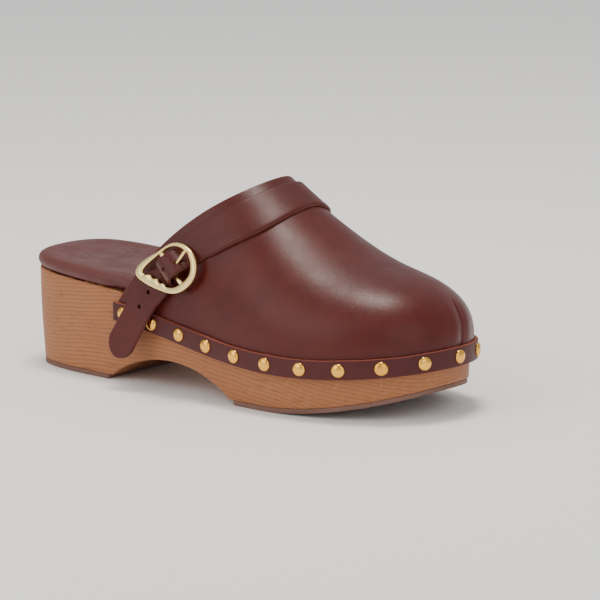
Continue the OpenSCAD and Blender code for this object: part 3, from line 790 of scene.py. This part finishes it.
def make_rand():
    """A rounded strip section carried along the outline at the rand's height,
    with a small waviness of the hand-cut upper edge."""
    s = np.linspace(RAND_A, RAND_B, 640)
    section = rounded_box(RAND_T, RAND_H, 0.32)
    base, out = rim(s), rim_out(s)
    wave = 0.10 * np.sin(s / 7.3) + 0.07 * np.sin(s / 3.1 + 1)
    o = UNDER_RAND + rand_lift(s)[:, None] + section[None, :, 0]
    xy = base[:, None, :] + out[:, None, :] * o[..., None]
    top = section[None, :, 1] / RAND_H
    z = rand_low(base[:, 0])[:, None] + section[None, :, 1] + wave[:, None] * top**4
    pts = np.concatenate([xy, z[..., None]], -1)
    n, m = pts.shape[:2]
    quads = grid(n, m, wrap_cols=True)
    mid = (section + np.roll(section, -1, 0)) / 2
    cut = (mid[:, 1] > RAND_H - 0.2) | (mid[:, 1] < 0.2)
    which = np.where(np.tile(cut, n - 1), 1, 0)
    which = np.r_[which, 1, 1]
    caps = [list(range(m)), list(range((n - 1) * m, n * m))]
    return piece("rand_strip", pts.reshape(-1, 3), quads, [RAND_FACE, CUT_EDGE], which,
                 extra=caps)


finish_piece(make_rand(), "shoe", ["rand"])


def make_domes():
    """Nail heads: a low dome turned about the nail, repeated along the rand."""
    count = 21
    s = RAND_A + 7 + (RAND_B - RAND_A - 11) * np.arange(count) / (count - 1)
    out = rim_out(s)
    base = rim(s) + out * (UNDER_RAND + rand_lift(s) + RAND_T)[:, None]
    centre = np.c_[base, rand_low(rim(s)[:, 0]) + RAND_H / 2]
    t = np.linspace(0, PI / 2, 11)[:-1]
    radius = np.r_[0.02, 2.9, 3.32, 3.45, 3.43 * np.cos(t) ** 0.85, 0.02]
    height = np.r_[-0.02, -0.02, 0.0, 0.12, 0.22 + 1.48 * np.sin(t) ** 1.15, 1.70]
    turn = np.arange(36) * 2 * PI / 36
    normal = np.c_[out, np.zeros(count)]
    along = np.c_[-out[:, 1], out[:, 0], np.zeros(count)]
    up = np.array([0, 0, 1.0])
    ring = radius[:, None, None] * (np.cos(turn)[None, :, None] * along[:, None, None, :]
                                    + np.sin(turn)[None, :, None] * up)
    pts = (centre[:, None, None, :] + ring
           + height[None, :, None, None] * normal[:, None, None, :])
    m, k = len(radius), len(turn)
    one = grid(m, k, wrap_cols=True)
    quads = (one[None] + np.arange(count)[:, None, None] * m * k).reshape(-1, 4)
    ends = [list(range(i * m * k, i * m * k + k)) for i in range(count)]
    ends += [list(range((i + 1) * m * k - k, (i + 1) * m * k)) for i in range(count)]
    return piece("dome_nails", pts.reshape(-1, 3), quads, [BRASS], extra=ends)


finish_piece(make_domes(), "shoe", ["studs"])


# ------------------------------------------------------ the buckle's frame
def unit(v):
    return np.asarray(v, float) / np.linalg.norm(v)


BW = unit([-0.06, -0.978, 0.201])
BU = np.array([-0.63, 0, -0.78])
BU = unit(BU - BW * (BU @ BW))
BV = np.cross(BW, BU)
B0 = np.array([109.2, -44, 59.6])
BAR_A, BAR_R = -6.5, 1.25
PRONG_B = 2.9


def at_buckle(a, b, c):
    """Buckle coordinates (towards the tip, across, outwards) to the shoe's."""
    a, b, c = np.broadcast_arrays(a, b, c)
    return B0 + a[..., None] * BU + b[..., None] * BV + c[..., None] * BW


FRAME_GUIDE = [(14.8, -16.2), (2.5, -14.7), (-4.9, -10.8), (-15.1, -9.1), (-21.4, -1.8),
               (-22.8, 8.2), (-16.6, 16.5), (-6.2, 16.3), (1.8, 11.9), (6.9, 3),
               (10.9, -4.2)]
WINDOW_GUIDE = [(11.1, -12.5), (1, -11), (-5.3, -9.4), (-12.8, -7.8), (-18.2, -3),
                (-20, 5.6), (-14.6, 12.9), (-7.3, 11.9), (0.3, 9.2), (3.5, 2.2),
                (5.4, -4.3)]


def make_buckle():
    """Cast frame: a rounded section swept between the outer and the inner
    curve, the inner one scalloped by three lobes, and a round centre bar."""
    n = 528
    outer, inner = spline(FRAME_GUIDE, n), spline(WINDOW_GUIDE, n)
    lobes = np.array([(4.2, 4.7), (6.3, -0.4), (8.5, -5.4)])
    d = inner - outer
    reach = np.linalg.norm(d, axis=1)
    d /= reach[:, None]
    to = lobes[None] - outer[:, None]
    along = (to * d[:, None]).sum(-1)
    gap = (to**2).sum(-1) - along**2
    hit = along + np.sqrt(np.maximum(0, 2.7**2 - gap))
    near = (gap < 2.7**2) & (along > 0) & (hit < reach[:, None] + 3)
    hit = np.where(near, hit, 0).max(1)
    reach = np.maximum(reach, hit)
    soft = np.array([1, 2, 3, 2, 1]) / 9
    reach = np.convolve(np.r_[reach[-2:], reach, reach[:2]], soft, "valid")
    t = np.arange(22) * 2 * PI / 22
    across = np.sign(np.cos(t)) * np.abs(np.cos(t)) ** (2 / 3.0)
    thick = np.sign(np.sin(t)) * np.abs(np.sin(t)) ** (2 / 2.5) * 1.2
    flat = outer[:, None] + d[:, None] * (reach[:, None, None] * (1 - across[None, :, None])
                                          / 2)
    pts = at_buckle(flat[..., 0], flat[..., 1], thick[None, :])
    quads = grid(n, 22, True, True)
    b = np.r_[-10.0, -9.95, np.linspace(-9.8, 13.5, 24), 13.8, 13.9]
    r = np.minimum(BAR_R, 0.85 + 0.4 * np.minimum(ramp((b + 9.8) / 1.4),
                                                 ramp((12.6 - b) / 1.6)))
    r[[0, -1]] = 0.1
    k = np.arange(24) * 2 * PI / 24
    bar = at_buckle(BAR_A + r[:, None] * np.cos(k), b[:, None], r[:, None] * np.sin(k))
    base = n * 22
    m = len(b)
    quads = np.vstack([quads, grid(m, 24, wrap_cols=True, base=base)])
    ends = [list(range(base, base + 24)), list(range(base + (m - 1) * 24, base + m * 24))]
    return piece("buckle_ring", np.vstack([pts.reshape(-1, 3), bar.reshape(-1, 3)]), quads,
                 [BUCKLE], extra=ends)


def make_prong():
    """Flattened wire wound round the bar and drawn out to a blunt point that
    rests on the front rail: a path with an oval section that changes along."""
    turn = np.radians(np.linspace(-155, 108, 40))
    loop = np.stack([BAR_A + 1.78 * np.cos(turn), 1.78 * np.sin(turn)], -1)
    shank = np.array([(-8.2, 1.32), (-9.4, 1.30), (-11, 1.50), (-13, 1.76), (-15.5, 2.07),
                      (-18, 2.37), (-19.6, 2.50), (-20.7, 2.46)])
    path = np.vstack([loop, shank])
    walk = np.r_[0, np.cumsum(np.linalg.norm(np.diff(path, axis=0), axis=1))]
    at = np.linspace(0, walk[-1], 120)
    path = np.stack([np.interp(at, walk, path[:, k]) for k in (0, 1)], -1)
    kernel = np.exp(-np.linspace(-2, 2, 9) ** 2)
    kernel /= kernel.sum()
    padded = np.vstack([path[:1]] * 4 + [path] + [path[-1:]] * 4)
    path = np.stack([np.convolve(padded[:, k], kernel, "valid") for k in (0, 1)], -1)
    path[0], path[-1] = padded[4], padded[-5]
    tangent = np.gradient(path, axis=0)
    tangent /= np.linalg.norm(tangent, axis=1, keepdims=True)
    normal = np.stack([-tangent[:, 1], tangent[:, 0]], -1)
    t = at / at[-1]
    drawn = ramp((t - 0.5) / 0.12)
    thick = (0.44 + 0.36 * drawn) * (1 - 0.45 * ramp((t - 0.9) / 0.1))
    wide = (1.1 - 0.2 * drawn) * (1 - 0.40 * ramp((t - 0.88) / 0.12))
    close = np.sqrt(np.clip(np.minimum(t, 1 - t) / 0.012, 0.0004, 1))
    k = np.arange(20) * 2 * PI / 20
    a = path[:, 0, None] + normal[:, 0, None] * (thick * close)[:, None] * np.cos(k)
    c = path[:, 1, None] + normal[:, 1, None] * (thick * close)[:, None] * np.cos(k)
    b = PRONG_B + (wide * close)[:, None] * np.sin(k)
    pts = at_buckle(a, b, c)
    ends = [list(range(20)), list(range(119 * 20, 120 * 20))]
    return piece("prong_wire", pts.reshape(-1, 3), grid(120, 20, wrap_cols=True), [BUCKLE],
                 extra=ends)


finish_piece(make_buckle(), "buckle", ["buckle_frame"])
finish_piece(make_prong(), "prong", ["buckle_prong"])


# ----------------------------------------------------------------- strap
STRAP_HEIGHT = np.array([
    (-30, -6.5), (-26, -5.75), (-22, -5.1), (-19, -4.8), (-16.6, -4.3), (-14.8, -3.6),
    (-13.4, -2.1), (-12, -0.1), (-10.6, 1.7), (-9, 2.7), (-6.5, 2.9), (-4.5, 2.6),
    (-3.2, 1.5), (-1.8, -0.4), (-0.5, -2.3), (0.7, -3.4), (2.4, -3.6), (6, -3.62),
    (9, -3.75), (12.4, -3.93), (17, -3.93)])
STRAP_PLACE = np.array([
    (-30, 0.5), (-24, 0.5), (-19, 1.2), (-14, 1.7), (-9, 1.4), (-5.4, 0.8), (0, -0.2),
    (6, -1.3), (14, -2.5), (17, -2.9)])
HALF_W, STRAP_T = 8.6, 2.0
DRAWN_IN = 2.3
WINDOW_HALF_W = HALF_W - DRAWN_IN
FIVE = np.linspace(-1, 1, 5)
STATIONS_A = np.arange(-22, 14.6, 1.35)
TAIL_TURN, TAIL_L, TAIL_A = np.radians(14.6), 35.8, 16.7


def strap_mid(a):
    """Sideways place of the strap's middle line along the buckle."""
    return np.interp(a, *STRAP_PLACE.T)


def strap_half(a):
    """Half width of the strap, drawn in where it passes through the buckle."""
    return HALF_W - DRAWN_IN * ramp((14 - np.abs(a + 7)) / 5)


def strap_stations():
    """Sections of the strap, five points wide, lower and upper face, from the
    inner side over the instep, through the buckle to the rounded tip."""
    def on_upper(v, side):
        q = (7 + HALF_W * (1 + FIVE))[None, :]
        v = v[:, None]
        a = 0.02 if side < 0 else 0.98
        step = np.linalg.norm(upper(a - 0.01 * side, v, 1.9) - upper(a, v, 1.9), axis=-1)
        u = q / (step / 0.01)
        u = u if side < 0 else 1 - u
        return np.stack([upper(u, v, o) for o in (2.0, 2.0 + STRAP_T)], 1)

    def at_bar(a):
        h = np.interp(a, *STRAP_HEIGHT.T)
        g = np.interp(a + 0.5, *STRAP_HEIGHT.T) - np.interp(a - 0.5, *STRAP_HEIGHT.T)
        size = np.hypot(g, 1)
        faces = []
        for o in (0.0, STRAP_T):
            faces.append(at_buckle((a - g / size * o)[:, None],
                                   strap_mid(a)[:, None] + strap_half(a)[:, None] * FIVE,
                                   (h + o / size)[:, None]))
        return np.stack(faces, 1)

    def tail(d, share):
        co, si, tilt = np.cos(TAIL_TURN), np.sin(TAIL_TURN), np.radians(2)
        arc_x = TAIL_L - HALF_W + HALF_W * np.cos(FIVE * PI / 2)
        x = (1 - share)[:, None] * d[:, None] + share[:, None] * arc_x
        y = (1 - share)[:, None] * HALF_W * FIVE + share[:, None] * HALF_W * np.sin(
            FIVE * PI / 2)
        faces = []
        for o in (0.0, STRAP_T):
            along = x * np.cos(tilt) - o * np.sin(tilt)
            rise = x * np.sin(tilt) + o * np.cos(tilt)
            faces.append(at_buckle(TAIL_A + along * co - y * si,
                                   strap_mid(16.2) + along * si + y * co, -3.9 + rise))
        return np.stack(faces, 1)

    d = np.linspace(0, 1, 30)
    share = ramp((d - 0.35) / 0.65)
    return np.concatenate([
        on_upper(0.06 + 0.94 * np.arange(31) / 30, 1),
        on_upper(1 - 0.56 * np.arange(1, 24) / 23, -1),
        at_bar(STATIONS_A), tail(3.4 + d * (TAIL_L - 9.4), share)])


def strap_surface():
    """Returns a function (length, width share, face) -> point, smoothed along
    the strap by a bell curve of 1 mm, and the lengths of some buckle stations."""
    st = strap_stations()
    centre = st[:, :, 2].mean(1)
    walk = np.r_[0, np.cumsum(np.linalg.norm(np.diff(centre, axis=0), axis=1))]
    fine = np.arange(0, walk[-1], 0.25)
    flat = st.reshape(len(st), -1)
    dense = np.stack([np.interp(fine, walk, flat[:, k]) for k in range(flat.shape[1])], -1)
    reach = 16
    kernel = np.exp(-(np.arange(-reach, reach + 1) * 0.25 / 1.0) ** 2 / 2)
    kernel /= kernel.sum()
    lead = 2 * dense[:1] - dense[reach:0:-1]
    trail = 2 * dense[-1:] - dense[-2:-reach - 2:-1]
    padded = np.vstack([lead, dense, trail])
    soft = np.stack([np.convolve(padded[:, k], kernel, "valid")
                     for k in range(flat.shape[1])], -1).reshape(-1, 2, 5, 3)

    def point(l, w, face):
        i = np.clip(l / 0.25, 0, len(soft) - 1.001)
        j = i.astype(int)
        f = (i - j)[..., None, None]
        rows = soft[j, face] * (1 - f) + soft[j + 1, face] * f
        out = 0
        for k in range(5):
            weight = 1.0
            for m in range(5):
                if m != k:
                    weight = weight * (w - FIVE[m]) / (FIVE[k] - FIVE[m])
            out = out + rows[..., k, :] * weight[..., None]
        return out

    first = 31 + 23
    tail0 = first + len(STATIONS_A)

    def length_at(a):
        return np.interp(a, STATIONS_A, walk[first:tail0])

    return point, length_at, walk[tail0], fine[-1]


def make_strap():
    """Flat grid of length and width, opened by 4 x 4 cell patches into round
    holes, carried onto the strap's surface with its edges eased."""
    point, length_at, tail0, total = strap_surface()
    holes = [(length_at(-11.7), (PRONG_B - 1.5) / WINDOW_HALF_W, 2.5, 1.35, 3.4),
             (length_at(-5.4), -0.1 / WINDOW_HALF_W, 1.05, 1.05, 2.1),
             (length_at(14.0), 0.0, 1.05, 1.05, 2.3),
             (tail0 + 3.2, 0.0, 1.05, 1.05, 2.3)]
    cols = np.array([-1, -0.955, -0.8, -0.55, -0.3, -0.15, 0, 0.15, 0.3, 0.55, 0.8, 0.955,
                     1])
    rows, starts = [0.0, 0.35], []
    for l0, _, _, _, half in holes + [(total - 0.35 + 2, 0, 0, 0, 2)]:
        gap = l0 - half - rows[-1]
        step = max(1, int(np.ceil(gap / (1.25 if gap < 40 else 1.8))))
        rows += list(rows[-1] + gap * np.arange(1, step + 1) / step)
        starts.append(len(rows) - 1)
        rows += [l0 - half / 2, l0, l0 + half / 2, l0 + half]
    rows = np.array(rows[:-4] + [total])
    starts = starts[:-1]
    shift = np.interp(rows, np.ravel([(h[0] - h[4], h[0] + h[4]) for h in holes]),
                      np.repeat([h[1] for h in holes], 2), left=0, right=0)
    n, m = len(rows), len(cols)
    w = cols[None] + shift[:, None] * (1 - cols[None] ** 2)
    l = np.repeat(rows[:, None], m, 1)
    flat = np.stack([l, w], -1).reshape(-1, 2)
    cell = np.arange((n - 1) * (m - 1)).reshape(n - 1, m - 1)
    keep = np.ones_like(cell, bool)
    top = grid(n, m).reshape(n - 1, m - 1, 4)
    around = np.array([(0, 0), (0, 1), (0, 2), (0, 3), (0, 4), (1, 4), (2, 4), (3, 4),
                       (4, 4), (4, 3), (4, 2), (4, 1), (4, 0), (3, 0), (2, 0), (1, 0)])
    patches, loops, base = [], [], len(flat)
    for (l0, w0, rl, rw, _), r in zip(holes, starts):
        keep[r:r + 4, 4:8] = False
        rim_ids = (r + around[:, 0]) * m + 4 + around[:, 1]
        edge = flat[rim_ids]
        angle = np.arctan2((around[:, 1] - 2) / 2, (around[:, 0] - 2) / 2)
        ring = np.stack([l0 + rl * np.cos(angle), w0 + rw / 7.6 * np.sin(angle)], -1)
        near = ring + (edge - ring) * 0.16
        flat = np.vstack([flat, near, ring])
        a, b = base + np.arange(16), base + 16 + np.arange(16)
        for one, two in ((rim_ids, a), (a, b)):
            patches.append(np.stack([one, np.roll(one, -1), np.roll(two, -1), two], -1))
        loops.append(b)
        base += 32
    face_quads = np.vstack([top[keep]] + patches)
    count = len(flat)
    pts = [point(flat[:, 0], flat[:, 1], k) for k in (0, 1)]
    rimmed = np.abs(flat[:, 1]) > 0.999
    rimmed |= (flat[:, 0] < 1e-6) | (flat[:, 0] > total - 1e-6)
    ease = np.where(rimmed, 0.17, 0.0)
    for b in loops:
        ease[b] = 0.10
    low = pts[0] + (pts[1] - pts[0]) * ease[:, None]
    high = pts[1] - (pts[1] - pts[0]) * ease[:, None]
    border = np.r_[np.arange(m), np.arange(1, n) * m + m - 1,
                   (n - 1) * m + np.arange(m - 2, -1, -1), np.arange(n - 2, 0, -1) * m]
    walls = []
    for loop in [border] + loops:
        nxt = np.roll(loop, -1)
        walls.append(np.stack([loop, nxt, nxt + count, loop + count], -1))
    walls = np.vstack(walls)
    quads = np.vstack([face_quads, face_quads[:, ::-1] + count, walls])
    which = np.r_[np.full(len(face_quads), 2), np.zeros(len(face_quads), int),
                  np.ones(len(walls), int)]
    strap = piece("instep_strap_band", np.vstack([low, high]), quads,
                  [STRAP_FACE, STRAP_EDGE, FLESH], which)
    smooth = strap.modifiers.new("rounding", "SUBSURF")
    smooth.levels = smooth.render_levels = 1
    return apply_modifiers(strap)


strap = make_strap()
hinge = at_buckle(np.array(16.7), np.array(-2.8), np.array(-1.9))
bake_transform(strap)
finish_piece(strap, None, ["instep_strap", "strap_tail"])


# ------------------------------------------- frame pieces with a new finish
for name, mat in (("footbed_foam", FOAM), ("toe_puff", STIFF), ("buckle_tab", STRAP_FACE),
                  ("tab_rivet", BRASS)):
    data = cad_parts[name].data
    data.materials.clear()
    data.materials.append(mat)


# ------------------------------------------------------- floor, light, camera
def make_floor():
    """Plain pale square, 12 m wide, that is not part of the shoe."""
    mesh = bpy.data.meshes.new("floor")
    r = 6.0
    mesh.from_pydata([(-r, -r, 0), (r, -r, 0), (r, r, 0), (-r, r, 0)], [], [(0, 1, 2, 3)])
    obj = bpy.data.objects.new("floor", mesh)
    bpy.context.scene.collection.objects.link(obj)
    mat, _, shader, _ = new_material("studio_floor")
    shader.inputs["Base Color"].default_value = (0.96, 0.96, 0.955, 1)
    shader.inputs["Roughness"].default_value = 0.9
    mesh.materials.append(mat)


def area_light(name, place, target, size, power, tint):
    """Square soft light at a place, in metres and watts, facing the target."""
    data = bpy.data.lights.new(name, "AREA")
    data.shape, data.size, data.energy, data.color = "SQUARE", size, power, tint
    obj = bpy.data.objects.new(name, data)
    place, target = np.array(place), np.array(target)
    back = unit(place - target)
    right = unit(np.cross([0, 0, 1], back))
    up = np.cross(back, right)
    turn = Matrix([[*r] for r in np.stack([right, up, back], 1)]).to_4x4()
    turn.translation = place
    obj.matrix_world = turn
    bpy.context.scene.collection.objects.link(obj)


make_floor()
area_light("key", (-0.06, 0.10, 1.45), (0, 0, 0.05), 0.46, 15, (1, 0.93, 0.85))
area_light("side", (-0.7, -1.7, 1.0), (0, 0, 0.05), 1.7, 16.5, (1, 0.97, 0.93))
area_light("fill", (1.6, -0.7, 0.8), (0, 0, 0.04), 1.4, 6, (1, 1, 1))
world = bpy.data.worlds.new("studio")
world.use_nodes = True
world.node_tree.nodes["Background"].inputs[0].default_value = (1, 1, 1, 1)
world.node_tree.nodes["Background"].inputs[1].default_value = 0.66
bpy.context.scene.world = world

lens = bpy.data.cameras.new("camera")
lens.lens, lens.sensor_width = 260.0, 36.0
lens.clip_start, lens.clip_end = 0.05, 50
camera = bpy.data.objects.new("camera", lens)
turn = Matrix(((0.77776, -0.11488, 0.61797), (0.62849, 0.15693, -0.76182),
               (-0.00946, 0.98091, 0.19426))).to_4x4()
turn.translation = (1.3542, -1.62998, 0.4623)
camera.matrix_world = turn
bpy.context.scene.collection.objects.link(camera)
bpy.context.scene.camera = camera
